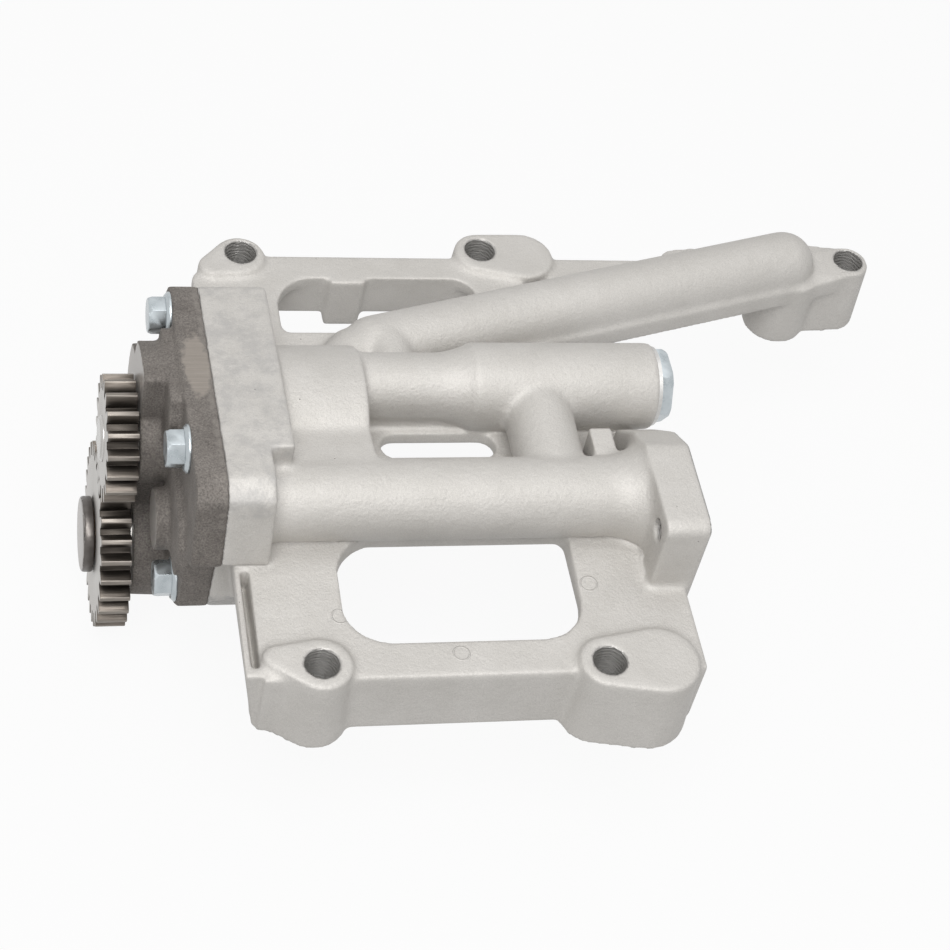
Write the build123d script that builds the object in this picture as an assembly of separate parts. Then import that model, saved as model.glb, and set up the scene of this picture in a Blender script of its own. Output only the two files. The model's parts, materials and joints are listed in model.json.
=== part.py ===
from build123d import *
import os
from math import acos, atan2, cos, pi, sin, sqrt, tan

# Engine oil pump: an aluminium casting that bolts to the underside of a crankcase,
# an iron front cover, a rotor pump driven by a gear, an idler gear on a headed pin,
# and a spring-loaded relief valve. Millimetres. The origin is on the axis of the
# near left mounting hole, in the plane of the mounting feet. X runs along the pump
# shaft from the gears to the suction flange, Y runs away from that hole's side.

# Mounting holes: places in plan, and what stands round them
hole_a = (-7.0, 212.0)
hole_b = (95.5, 215.0)
hole_c = (263.0, 213.0)
hole_d = (0.0, 0.0)
hole_e = (107.5, -2.5)
mount_hole_radius = 6.5
boss_top = 35.0
far_boss_top = 33.0
boss_draft = 3.0

# Outline of each boss: circles given from its hole as (x, y, radius), with a belt round them
boss_a = ((-0.5, -1.5, 10.5), (-12.0, -7.0, 6.0))
boss_b = ((0.0, -1.0, 11.0), (18.0, -3.0, 13.5))
boss_c = ((0.0, -0.5, 8.8), (-25.0, -4.0, 7.0))
boss_d = ((0.0, 0.0, 11.5), (-16.0, 4.0, 5.0))
boss_e = ((0.0, 0.0, 11.5), (20.0, 0.0, 15.0))

# Deck of the casting: heights, walls and the main edges in plan
deck_top = 32.0
deck_wall = 6.0
foot_relief = 1.0
back_rail_floor = 12.0
near_edge = -5.5
near_rail_width = 16.5
side_rail_width = 7.0
left_edge = -21.0
rib_top_x = -27.8
rib_foot_x = -22.3
rib_wall = 2.4
rib_end_y = 62.0
pocket_width = 3.4
pocket_depth = 18.0
pocket_end_y = 43.5
right_edge = 146.0
right_edge_end_y = 59.0
side_rail_floor = 8.0
right_step_y = 140.5
far_plate_x = 112.0
far_step_y = 162.5
back_left_edge = -28.0
back_corner_cut = 12.0
back_edge = 213.0
plate_corner_radius = 3.0
back_rail_width = 14.0
back_rail_start_x = -15.0
back_rail_end_x = 200.0
back_bump = (29.0, 44.0)
back_bump_depth = 3.0
back_lug = ((184.0, 212.0, 8.0), (192.0, 213.0, 8.0))

# Pump axis, the faces along it, and the corners of the cover joint from that axis
pump_y = 117.0
pump_z = 26.0
joint_x = -32.0
flange_depth = 27.0
thin_flange_depth = 18.0
thin_flange_y = 72.5
flange_corners = (
    (47.0, 36.5),
    (-60.5, 46.0),
    (-68.5, 41.0),
    (-72.5, 9.0),
    (-61.5, 1.0),
    (-57.5, -32.5),
    (-48.5, -42.0),
    (45.0, -42.0),
    (54.0, -32.0),
    (57.0, 19.0),
)
flange_corner_radius = 4.0
cover_thickness = 11.5
cover_nose_x = -57.0
housing_radius = 36.0
housing_end_x = 28.5
housing_crease_y = 95.0

# Rotor set: the outer rotor has one lobe more than the inner one
inner_lobes = 6
rotor_offset = 2.8
lobe_radius = 7.5
lobe_circle = 26.4
outer_rotor_radius = 29.0
rotor_length = 38.0
tip_clearance = 0.08
root_clearance = 0.15
side_clearance = 0.05
running_clearance = 0.04
seat_clearance = 0.02

# Shaft, bushes and drive pin
shaft_radius = 9.0
shaft_front_x = -71.2
shaft_chamfer = 1.0
bush_wall = 2.0
bush_length = 14.0
shaft_end_gap = 1.0
drive_pin_radius = 2.5
drive_pin_reach = 3.5

# Gears
gear_module = 2.5
drive_teeth = 18
idler_teeth = 28
pressure_angle = 20.0
backlash = 0.16
gear_back_x = -58.0
gear_width = 12.0
root_depth = 1.25
gear_edge = 0.4

# Idler pin, bush and washer
idler_pin_radius = 9.5
idler_head_radius = 15.3
idler_head_thickness = 4.4
idler_head_gap = 0.6
idler_boss_radius = 24.5
idler_boss_x = -56.0
washer_thickness = 1.8
washer_radius = 16.0
pin_depth = 21.0

# Front cover: what stands on its outer side
nose_radius = 38.5
round_boss_radius = 12.0
round_boss_x = -52.0
round_boss_y = -31.0
round_boss_z = -11.5
seat_radius = 11.0
cover_far_step = 3.5
notch_length = 14.0
notch_depth = 2.0

# Cover bolts and dowels, measured from the pump axis
bolt_places = ((36.0, 31.0), (-38.5, 37.0), (-46.5, -28.5), (40.0, -30.0))
dowel_places = ((47.0, 4.0), (-55.0, 10.0))
bolt_radius = 4.0
bolt_flange_radius = 9.2
bolt_flange_height = 2.0
bolt_across_flats = 13.0
bolt_head_height = 8.5
bolt_hole_clearance = 0.5
bolt_thread_length = 18.0
dowel_radius = 4.0
dowel_length = 14.0

# Suction side: tube, and its end flange with corners and tapped holes from the tube axis
suction_y = 69.0
suction_z = 44.0
suction_tube_radius = 15.7
suction_bore_radius = 11.5
suction_bore_x = -18.0
suction_flange_x = 131.0
suction_face_x = 148.5
suction_bolts = ((-26.0, 10.6), (26.0, -10.6))
suction_thread_radius = 4.25
suction_flange_corners = (
    (-35.5, -24.0),
    (-35.5, 20.0),
    (-30.5, 22.0),
    (7.0, 22.0),
    (22.0, 13.0),
    (37.5, -3.0),
    (37.5, -24.0),
)
suction_corner_radius = 4.0
inlet_x = -8.0
inlet_radius = 9.0
inlet_drop = 2.0
inlet_end_y = 99.0

# Relief valve: tube, stepped bore, plunger, spring and plug
relief_y = 126.5
relief_z = 44.8
relief_small_radius = 13.4
relief_large_radius = 17.4
relief_step_x = 73.0
relief_end_x = 148.0
valve_seat_x = 84.0
valve_bore_radius = 10.0
valve_seat_radius = 7.5
plunger_length = 26.0
plunger_wall = 2.2
plunger_head = 4.0
plunger_travel = 15.0
spring_wire = 1.6
spring_radius = 6.2
spring_turns = 7
plug_thread_radius = 12.0
plug_thread_length = 14.0
plug_cup_radius = 8.2
plug_cup_depth = 8.0
plug_across_flats = 27.0
plug_head_height = 5.0
plug_washer_thickness = 1.5
plug_washer_radius = 16.0

# Cross boss that carries spilled oil back to the suction tube
cross_x = 99.5
cross_z = 44.0
cross_radius = 13.6
spill_radius = 5.0

# Delivery: drilling from the valve line, slanting gallery and outlet
delivery_x = 46.0
delivery_z = 37.0
delivery_radius = 6.0
delivery_boss_radius = 10.0
gallery_start = (42.0, 158.0)
gallery_end = (231.0, 210.5)
gallery_z = 33.0
gallery_radius = 13.9
gallery_bore_radius = 8.5
gallery_lip = 2.0
gallery_plate = 9.0
outlet_place = (235.0, 208.5)
outlet_radius = 14.0
outlet_bore_radius = 8.5
seal_radius = 11.2
seal_thickness = 2.4
seal_groove_depth = 1.9

# Windows through the deck: left, right, near and far edges
window_near = (11.5, 102.5, 11.0, 60.5)
window_near_corners = (17.0, 17.0, 20.0, 5.0)
window_slot = (37.5, 83.5, 100.5, 112.5)
window_back = (6.0, 90.0, 169.0, 200.0)
window_back_corners = (4.0, 4.0, 17.0, 10.0)

# Small cast pad on the plate beside the cross boss: left, right, near and far edges
pad_edges = (116.0, 125.5, 84.0, 98.0)
pad_top = 52.0


def drum(y, z, radius, x0, x1):
    """Round bar along X between two stations."""
    return extrude(Plane.YZ.offset(x0) * (Pos(y, z) * Circle(radius)), amount=x1 - x0)


def post(place, radius, z0, z1):
    """Upright round bar between two heights."""
    return Pos(place[0], place[1], z0) * Cylinder(
        radius, z1 - z0, align=(Align.CENTER, Align.CENTER, Align.MIN)
    )


def across(x, z, radius, y0, y1):
    """Round bar along Y between two stations."""
    return Pos(x, y0, z) * Rot(-90, 0, 0) * Cylinder(
        radius, y1 - y0, align=(Align.CENTER, Align.CENTER, Align.MIN)
    )


def block(x0, x1, y0, y1, z0, z1):
    """Square-cornered block given by its faces."""
    return Pos(x0, y0, z0) * Box(
        x1 - x0, y1 - y0, z1 - z0, align=(Align.MIN, Align.MIN, Align.MIN)
    )


def wrapped(circles):
    """Outline of a belt pulled round circles given as (x, y, radius)."""
    rims = []
    for x, y, radius in circles:
        rims += (Pos(x, y) * Circle(radius)).edges()
    return make_hull(rims)


def drafted_boss(hole, circles, top):
    """Cast boss: its top follows circles set from the hole, and it widens towards the foot."""
    x, y = hole
    placed = [(x + dx, y + dy, radius) for dx, dy, radius in circles]
    outline = Plane.XY.offset(top) * wrapped(placed)
    return extrude(outline, amount=-top, taper=-boss_draft)


def rounded(points, radius):
    """Closed outline through the points, with every corner rounded."""
    shape = make_face(Polyline(*points, close=True))
    return fillet(shape.vertices(), radius)


def flange_outline():
    """Joint outline shared by the cover and the casting."""
    return Pos(pump_y, pump_z) * rounded(flange_corners, flange_corner_radius)


def corner_window(edges, radii):
    """Window outline; radii run near left, near right, far left, far right."""
    x0, x1, y0, y1 = edges
    near_left, near_right, far_left, far_right = radii
    turns = (
        (x0 + near_left, y0 + near_left, near_left, 180, 270),
        (x1 - near_right, y0 + near_right, near_right, 270, 360),
        (x1 - far_right, y1 - far_right, far_right, 0, 90),
        (x0 + far_left, y1 - far_left, far_left, 90, 180),
    )
    arcs = []
    for x, y, radius, first, last in turns:
        arcs.append(CenterArc((x, y), radius, first, last - first))
    sides = []
    for index in range(4):
        sides.append(Line(arcs[index - 1] @ 1, arcs[index] @ 0))
    return make_face(arcs + sides)


def deck_plate():
    """Flat plate that carries everything, with its near rail and right side rail."""
    corners = (
        (left_edge, near_edge),
        (right_edge, near_edge),
        (right_edge, right_edge_end_y),
        (right_edge - deck_wall, right_step_y),
        (far_plate_x, far_step_y),
        (far_plate_x, back_edge),
        (back_left_edge + back_corner_cut, back_edge),
        (back_left_edge, back_edge - back_corner_cut),
        (back_left_edge, pump_y),
        (left_edge, rib_end_y),
    )
    level = Plane.XY.offset(deck_top - deck_wall)
    plate = extrude(level * rounded(corners, plate_corner_radius), amount=deck_wall)
    rail_y = near_edge + near_rail_width
    rail = block(left_edge, right_edge, near_edge, rail_y, foot_relief, deck_top)
    side_x = right_edge - side_rail_width
    side = block(side_x, right_edge, near_edge, right_edge_end_y, side_rail_floor, deck_top)
    return plate + rail + side


def windows():
    """Prisms that cut the three windows."""
    x0, x1, y0, y1 = window_slot
    slot = Pos((x0 + x1) / 2, (y0 + y1) / 2) * SlotOverall(x1 - x0, y1 - y0)
    near = corner_window(window_near, window_near_corners)
    back = corner_window(window_back, window_back_corners)
    cut = extrude(slot, amount=2 * deck_top)
    cut += extrude(near, amount=2 * deck_top)
    return cut + extrude(back, amount=2 * deck_top)


def back_rail():
    """Far rail past holes A and B, with a bump on its front and a lug behind."""
    front = back_edge - back_rail_width + 1
    ends = (back_rail_start_x, back_rail_end_x)
    rail = block(*ends, front, back_edge, back_rail_floor, deck_top)
    bump = block(*back_bump, front - back_bump_depth, back_edge, foot_relief + deck_wall, deck_top)
    lug = Plane.XY.offset(deck_top - deck_wall) * wrapped(back_lug)
    return rail + bump + extrude(lug, amount=deck_wall)


def left_rib():
    """Outer wall on the left, leaning in towards its foot, with a narrow pocket behind it."""
    start = near_edge + rib_wall
    inner_x = left_edge + deck_wall
    wall = make_face(
        Polyline(
            (rib_top_x, deck_top),
            (rib_foot_x, foot_relief),
            (inner_x, foot_relief),
            (inner_x, deck_top),
            close=True,
        )
    )
    wall = extrude(Plane.XZ.offset(-start) * wall, amount=start - rib_end_y)
    left = rib_top_x + rib_wall
    right = left + pocket_width
    pocket = make_face(
        Polyline(
            (left, deck_top + 1),
            (right, deck_top + 1),
            (right, deck_top - pocket_depth),
            close=True,
        )
    )
    return wall, extrude(Plane.XZ.offset(-1) * pocket, amount=1 - pocket_end_y)


def bosses():
    """The five drafted mounting bosses, each with its own outline."""
    solid = drafted_boss(hole_a, boss_a, boss_top)
    solid += drafted_boss(hole_b, boss_b, boss_top)
    solid += drafted_boss(hole_c, boss_c, far_boss_top)
    solid += drafted_boss(hole_d, boss_d, boss_top)
    return solid + drafted_boss(hole_e, boss_e, boss_top)


def relief_tube():
    """Stepped tube of the relief valve."""
    small = drum(relief_y, relief_z, relief_small_radius, joint_x + flange_depth, relief_step_x + 2)
    cone_length = relief_large_radius - relief_small_radius
    base = Plane.YZ.offset(relief_step_x - cone_length)
    cone = loft(
        [
            base * (Pos(relief_y, relief_z) * Circle(relief_small_radius)),
            base.offset(cone_length * 1.5) * (Pos(relief_y, relief_z) * Circle(relief_large_radius)),
        ]
    )
    large = drum(relief_y, relief_z, relief_large_radius, relief_step_x, relief_end_x)
    return small + cone + large


def gallery():
    """Slanting delivery tube with a domed end, on its edge plate."""
    dx = gallery_end[0] - gallery_start[0]
    dy = gallery_end[1] - gallery_start[1]
    length = sqrt(dx * dx + dy * dy)
    along = Plane(origin=(*gallery_start, gallery_z), z_dir=(dx, dy, 0))
    tube = extrude(along * Circle(gallery_radius), amount=length)
    dome = Pos(*gallery_end, gallery_z) * Sphere(gallery_radius)
    dome += Pos(*gallery_start, gallery_z) * Sphere(gallery_radius)
    rim = gallery_radius + gallery_lip
    plate = extrude(
        Plane.XY.offset(deck_top - gallery_plate)
        * wrapped(((*gallery_start, rim), (*gallery_end, rim), (*hole_c, 8.5))),
        amount=gallery_plate,
    )
    bore = extrude(along * Circle(gallery_bore_radius), amount=length)
    return tube + dome + plate, bore


def suction_flange():
    """End flange of the suction tube: a block with a sloping far shoulder."""
    shape = Pos(suction_y, suction_z) * rounded(suction_flange_corners, suction_corner_radius)
    depth = suction_face_x - suction_flange_x
    return extrude(Plane.YZ.offset(suction_flange_x) * shape, amount=depth)


def pump_flange():
    """Thick flange that takes the cover; its near side is thinner, with a step between."""
    flange = extrude(Plane.YZ.offset(joint_x) * flange_outline(), amount=flange_depth)
    thin = joint_x + thin_flange_depth
    far_x = joint_x + flange_depth
    reach = 2 * housing_radius
    return flange - block(thin, far_x, 0, thin_flange_y, pump_z - reach, pump_z + reach)


def housing():
    """Rotor housing, with a web that slopes down to it from the top of the suction tube."""
    start = joint_x + thin_flange_depth - 1
    round_part = drum(pump_y, pump_z, housing_radius, joint_x + flange_depth - 1, housing_end_x)
    rise = sqrt(housing_radius**2 - (pump_y - housing_crease_y) ** 2)
    points = (
        (suction_y, suction_z + suction_tube_radius - 0.5),
        (housing_crease_y, pump_z + rise),
        (pump_y, pump_z + rise / 2),
        (pump_y, pump_z - 10),
        (suction_y, deck_top - deck_wall),
    )
    web = make_face(Polyline(*points, close=True))
    return round_part + extrude(Plane.YZ.offset(start) * web, amount=housing_end_x - start)


def seats_under_tubes():
    """Narrow feet that tie the two tubes to the plate."""
    start = joint_x + flange_depth
    floor = deck_top - deck_wall
    half = 0.6 * suction_tube_radius
    under_suction = block(start, suction_face_x, suction_y - half, suction_y + half, floor, suction_z)
    half = 0.75 * relief_small_radius
    under_relief = block(start, relief_end_x - 6, relief_y - half, relief_y + half, floor, relief_z)
    return under_suction + under_relief


def passages():
    """Bores of the casting: chamber, ports, valve bore, outlet and fixings."""
    chamber_end = joint_x + rotor_length + 2 * side_clearance
    end = chamber_end + bush_length + shaft_end_gap
    thread_x = relief_end_x - plug_thread_length - 1
    cuts = [
        drum(pump_y, pump_z + rotor_offset, outer_rotor_radius + running_clearance, joint_x, chamber_end),
        drum(pump_y, pump_z, shaft_radius + bush_wall, chamber_end, end),
        drum(suction_y, suction_z, suction_bore_radius, suction_bore_x, suction_face_x),
        drum(relief_y, relief_z, valve_seat_radius, chamber_end - 1, valve_seat_x),
        drum(relief_y, relief_z, valve_bore_radius + running_clearance, valve_seat_x, relief_end_x),
        drum(relief_y, relief_z, plug_thread_radius, thread_x, relief_end_x),
        post(outlet_place, outlet_bore_radius, 0, gallery_z),
        across(inlet_x, suction_z - inlet_drop, inlet_radius, suction_y, inlet_end_y),
        across(cross_x, cross_z, spill_radius, suction_y, relief_y),
        across(delivery_x, delivery_z, delivery_radius, relief_y, gallery_start[1]),
    ]
    for place in (hole_a, hole_b, hole_c, hole_d, hole_e):
        cuts.append(post(place, mount_hole_radius, -1, boss_top + 1))
    depth = bolt_thread_length + 2
    for dy, dz in bolt_places:
        cuts.append(drum(pump_y + dy, pump_z + dz, bolt_radius, joint_x, joint_x + depth))
    for dy, dz in dowel_places:
        hole = dowel_radius + seat_clearance
        cuts.append(drum(pump_y + dy, pump_z + dz, hole, joint_x, joint_x + dowel_length / 2))
    for dy, dz in suction_bolts:
        y = suction_y + dy
        z = suction_z + dz
        cuts.append(drum(y, z, suction_thread_radius, suction_flange_x, suction_face_x))
    groove = post(outlet_place, seal_radius + seal_thickness / 2 + 0.2, 0, seal_groove_depth)
    groove -= post(outlet_place, seal_radius - seal_thickness / 2 - 0.2, 0, seal_groove_depth)
    cuts.append(groove)
    return cuts


def pump_body():
    """Main casting, built up from plate, tubes and bosses, then bored."""
    gallery_solid, gallery_bore = gallery()
    body = deck_plate() - windows()
    body += back_rail()
    rib, pocket = left_rib()
    body += rib
    body -= pocket
    body += bosses()
    body += gallery_solid
    body += pump_flange()
    body += housing()
    body += seats_under_tubes()
    start = joint_x + thin_flange_depth / 2
    body += drum(suction_y, suction_z, suction_tube_radius, start, suction_face_x - 1)
    body += relief_tube()
    body += across(cross_x, cross_z, cross_radius, suction_y, relief_y)
    body += across(delivery_x, delivery_z, delivery_boss_radius, relief_y, gallery_start[1])
    body += block(*pad_edges, deck_top - 1, pad_top)
    body += suction_flange()
    body += post(outlet_place, outlet_radius, 0, deck_top)
    body -= gallery_bore
    for cut in passages():
        body -= cut
    return body


def front_cover():
    """Iron cover: joint plate, round nose, idler boss, bolt seats and bores."""
    seat_x = joint_x - cover_thickness
    idler_z = pump_z - gear_distance()
    plate = extrude(Plane.YZ.offset(seat_x) * flange_outline(), amount=cover_thickness)
    nose = drum(pump_y, pump_z, nose_radius, cover_nose_x, joint_x)
    idler_boss = drum(pump_y, idler_z, idler_boss_radius, idler_boss_x, joint_x)
    neck = block(
        idler_boss_x + 4,
        joint_x,
        pump_y - idler_boss_radius,
        pump_y + idler_boss_radius,
        idler_z,
        pump_z,
    )
    cover = plate + nose + idler_boss + neck
    boss_y = pump_y + round_boss_y
    boss_z = pump_z + round_boss_z
    cover += drum(boss_y, boss_z, round_boss_radius, round_boss_x, joint_x)
    for dy, dz in bolt_places:
        y = pump_y + dy
        z = pump_z + dz
        cover -= drum(y, z, bolt_flange_radius + 0.6, cover_nose_x - 1, seat_x)
        cover -= drum(y, z, bolt_radius + bolt_hole_clearance, seat_x - 1, joint_x)
    for dy, dz in dowel_places:
        hole = dowel_radius + seat_clearance
        cover -= drum(pump_y + dy, pump_z + dz, hole, joint_x - dowel_length / 2, joint_x)
    cover -= drum(pump_y, pump_z, shaft_radius + bush_wall, cover_nose_x, joint_x)
    pin_hole = idler_pin_radius + seat_clearance
    cover -= drum(pump_y, idler_z, pin_hole, idler_boss_x, idler_boss_x + pin_depth)
    far_y = pump_y + flange_corners[0][0]
    cover -= block(seat_x, joint_x, far_y - cover_far_step, far_y, pump_z, pump_z + nose_radius)
    rim = nose_radius + 1
    notch = make_face(Polyline((-3, rim), (3, rim), (0, rim - notch_length), close=True))
    notch = Plane.YZ.offset(cover_nose_x) * (Pos(pump_y, pump_z) * notch)
    cover -= extrude(notch, amount=notch_depth)
    return cover


def gear_distance():
    """Centre distance of the two gears."""
    return gear_module * (drive_teeth + idler_teeth) / 2


def involute_point(base_radius, radius, start):
    """Point of the involute at a radius, turned so that it starts at an angle."""
    roll = acos(base_radius / radius)
    angle = start + tan(roll) - roll
    return (radius * cos(angle), radius * sin(angle))


def gear_outline(teeth, first_tooth):
    """Spur gear with involute flanks; first_tooth is the angle of one tooth's middle."""
    pitch_radius = gear_module * teeth / 2
    base_radius = pitch_radius * cos(pressure_angle * pi / 180)
    tip_radius = pitch_radius + gear_module
    root_radius = pitch_radius - root_depth * gear_module
    flank_foot = max(base_radius, root_radius + 0.2) + 0.01
    roll = acos(base_radius / pitch_radius)
    half_tooth = pi / (2 * teeth) - backlash / (4 * pitch_radius) + tan(roll) - roll
    steps = 5
    outline = []
    for index in range(teeth):
        middle = first_tooth + 2 * pi * index / teeth
        rising = []
        for step in range(steps + 1):
            radius = flank_foot + (tip_radius - flank_foot) * step / steps
            x, y = involute_point(base_radius, radius, -half_tooth)
            rising.append((x, y))
        falling = [(x, -y) for x, y in reversed(rising)]
        foot_angle = atan2(rising[0][1], rising[0][0])
        foot = (root_radius * cos(foot_angle), root_radius * sin(foot_angle))
        c = cos(middle)
        s = sin(middle)
        turn = lambda p: (p[0] * c - p[1] * s, p[0] * s + p[1] * c)
        next_angle = 2 * pi / teeth + foot_angle
        next_foot = (root_radius * cos(next_angle), root_radius * sin(next_angle))
        end_foot = (foot[0], -foot[1])
        outline.append(Line(turn(foot), turn(rising[0])))
        outline.append(Spline(*[turn(p) for p in rising]))
        crown = (tip_radius, 0)
        outline.append(ThreePointArc(turn(rising[-1]), turn(crown), turn(falling[0])))
        outline.append(Spline(*[turn(p) for p in falling]))
        outline.append(Line(turn(falling[-1]), turn(end_foot)))
        gap = pi / teeth
        valley = (root_radius * cos(gap), root_radius * sin(gap))
        outline.append(ThreePointArc(turn(end_foot), turn(valley), turn(next_foot)))
    return make_face(outline)


def gear(teeth, first_tooth, z, bore):
    """Spur gear blank with teeth and a plain bore, on the gear plane."""
    shape = Pos(pump_y, z) * (gear_outline(teeth, first_tooth) - Circle(bore))
    front = gear_back_x - gear_width
    return extrude(Plane.YZ.offset(front) * shape, amount=gear_width)


def drive_gear():
    """Gear on the pump shaft, with one tooth pointing at the idler."""
    return gear(drive_teeth, -pi / 2, pump_z, shaft_radius + seat_clearance)


def idler_gear():
    """Larger gear between crankshaft and pump, with a gap facing the drive gear."""
    gap = pi / 2 + pi / idler_teeth
    bore = idler_pin_radius + bush_wall + seat_clearance
    return gear(idler_teeth, gap, pump_z - gear_distance(), bore)


def idler_bush():
    """Bearing bush pressed into the idler gear."""
    z = pump_z - gear_distance()
    front = gear_back_x - gear_width
    bush = drum(pump_y, z, idler_pin_radius + bush_wall, front, gear_back_x)
    return bush - drum(pump_y, z, idler_pin_radius + running_clearance, front, gear_back_x)


def idler_pin():
    """Headed pin pressed into the cover; the head keeps the idler gear on."""
    z = pump_z - gear_distance()
    head_back = gear_back_x - gear_width - idler_head_gap
    head = drum(pump_y, z, idler_head_radius, head_back - idler_head_thickness, head_back)
    head = chamfer(head.edges().sort_by(Axis.X)[0], 0.8)
    shank = drum(pump_y, z, idler_pin_radius, head_back, idler_boss_x + pin_depth - 0.5)
    return head + shank


def idler_thrust_washer():
    """Washer between the idler gear and the cover boss."""
    z = pump_z - gear_distance()
    back = idler_boss_x
    front = back - washer_thickness
    ring = drum(pump_y, z, washer_radius, front, back)
    return ring - drum(pump_y, z, idler_pin_radius + 0.15, front, back)


def shaft_back_x():
    """Rear end of the pump shaft, inside the blind bearing bore."""
    return joint_x + rotor_length + 2 * side_clearance + bush_length


def drive_pin_x():
    """Station of the rotor's drive pin."""
    return joint_x + rotor_length - 4


def pump_shaft():
    """Steel shaft through cover, inner rotor and rear bush, cross-drilled for its pin."""
    shaft = drum(pump_y, pump_z, shaft_radius, shaft_front_x, shaft_back_x())
    ends = shaft.edges().filter_by(GeomType.CIRCLE)
    shaft = chamfer(ends, shaft_chamfer)
    hole = Cylinder(drive_pin_radius + seat_clearance, 4 * shaft_radius)
    return shaft - Pos(drive_pin_x(), pump_y, pump_z) * hole


def rotor_drive_pin():
    """Cross pin that turns the inner rotor."""
    length = 2 * (shaft_radius + drive_pin_reach)
    return Pos(drive_pin_x(), pump_y, pump_z) * Cylinder(drive_pin_radius, length)


def shaft_bush(x0, x1):
    """Plain bearing bush for the pump shaft."""
    bush = drum(pump_y, pump_z, shaft_radius + bush_wall - seat_clearance, x0, x1)
    return bush - drum(pump_y, pump_z, shaft_radius + running_clearance, x0, x1)


def inner_rotor_point(t):
    """Point of the inner rotor's outline, at a parameter that runs once round."""
    lobes = inner_lobes + 1
    x = lobe_circle * cos(t) + rotor_offset * cos(lobes * t)
    y = lobe_circle * sin(t) + rotor_offset * sin(lobes * t)
    dx = -lobe_circle * sin(t) - rotor_offset * lobes * sin(lobes * t)
    dy = lobe_circle * cos(t) + rotor_offset * lobes * cos(lobes * t)
    inward = (lobe_radius + tip_clearance) / sqrt(dx * dx + dy * dy)
    return (-(y + inward * dx), x - inward * dy)


def inner_rotor():
    """Inner rotor: a curve at lobe_radius inside the path of the outer lobe centres."""
    count = 14 * inner_lobes
    step = 2 * pi / count
    arcs = []
    for index in range(count):
        t = index * step
        ends = (inner_rotor_point(t), inner_rotor_point(t + step / 2), inner_rotor_point(t + step))
        arcs.append(ThreePointArc(*ends))
    shape = Pos(pump_y, pump_z) * (make_face(arcs) - Circle(shaft_radius + seat_clearance))
    front = joint_x + side_clearance
    rotor = extrude(Plane.YZ.offset(front) * shape, amount=rotor_length)
    slot_half = drive_pin_radius + seat_clearance
    reach = shaft_radius + drive_pin_reach + 0.3
    slot = block(
        drive_pin_x() - slot_half,
        front + rotor_length + 1,
        pump_y - slot_half,
        pump_y + slot_half,
        pump_z - reach,
        pump_z + reach,
    )
    return rotor - slot


def outer_rotor():
    """Outer rotor: a ring whose bore is a circle broken by round lobes."""
    lobes = inner_lobes + 1
    root = lobe_circle - lobe_radius + 2 * rotor_offset + root_clearance
    bore = Circle(root)
    for index in range(lobes):
        angle = pi / 2 + 2 * pi * index / lobes
        bore -= Pos(lobe_circle * cos(angle), lobe_circle * sin(angle)) * Circle(lobe_radius)
    ring = Circle(outer_rotor_radius) - bore
    shape = Pos(pump_y, pump_z + rotor_offset) * ring
    return extrude(Plane.YZ.offset(joint_x + side_clearance) * shape, amount=rotor_length)


def flange_bolt(y, z):
    """Hexagon bolt with a forged flange under its head."""
    seat = joint_x - cover_thickness
    flange_top = seat - bolt_flange_height
    flange = drum(y, z, bolt_flange_radius, flange_top, seat)
    flange = chamfer(flange.edges().sort_by(Axis.X)[0], bolt_flange_height * 0.6)
    corner = bolt_across_flats / 2 / cos(pi / 6)
    hexagon = Pos(y, z) * RegularPolygon(corner, 6)
    length = bolt_head_height - bolt_flange_height
    head = extrude(Plane.YZ.offset(seat - bolt_head_height) * hexagon, amount=length)
    cone = Plane.YZ.offset(seat - bolt_head_height) * (Pos(y, z) * Circle(corner - 0.9))
    head = head & extrude(cone, amount=length, taper=-30)
    end = joint_x + bolt_thread_length
    shank = drum(y, z, bolt_radius - 0.02, seat, end)
    shank = chamfer(shank.edges().sort_by(Axis.X)[-1], 0.8)
    return flange + head + shank


def cover_bolts():
    """The bolts that hold the cover, one solid each."""
    return Compound(children=[flange_bolt(pump_y + y, pump_z + z) for y, z in bolt_places])


def cover_dowels():
    """Two dowels that line the cover up with the casting."""
    half = dowel_length / 2 - 0.3
    pins = []
    for dy, dz in dowel_places:
        pin = drum(pump_y + dy, pump_z + dz, dowel_radius, joint_x - half, joint_x + half)
        pins.append(chamfer(pin.edges().filter_by(GeomType.CIRCLE), 0.6))
    return Compound(children=pins)


def relief_plunger():
    """Hollow plunger that covers the spill port until oil lifts it off its seat."""
    start = valve_seat_x + side_clearance
    end = start + plunger_length
    plunger = drum(relief_y, relief_z, valve_bore_radius, start, end)
    plunger = chamfer(plunger.edges().sort_by(Axis.X)[0], 0.8)
    hollow = valve_bore_radius - plunger_wall
    return plunger - drum(relief_y, relief_z, hollow, start + plunger_head, end)


def relief_spring():
    """Coil spring between plunger and plug; the wire is drawn with eight sides."""
    start = valve_seat_x + side_clearance + plunger_head + spring_wire / 2 + 0.1
    end = plug_cup_floor() - spring_wire / 2 - 0.1
    path = Helix(
        pitch=(end - start) / spring_turns,
        height=end - start,
        radius=spring_radius,
        center=(start, relief_y, relief_z),
        direction=(1, 0, 0),
    )
    section = Plane(origin=path @ 0, z_dir=path % 0) * RegularPolygon(spring_wire / 2, 8)
    return sweep(section, path=path)


def plug_cup_floor():
    """Station of the bottom of the plug's hollow end."""
    return relief_end_x - plug_thread_length + plug_cup_depth


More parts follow.
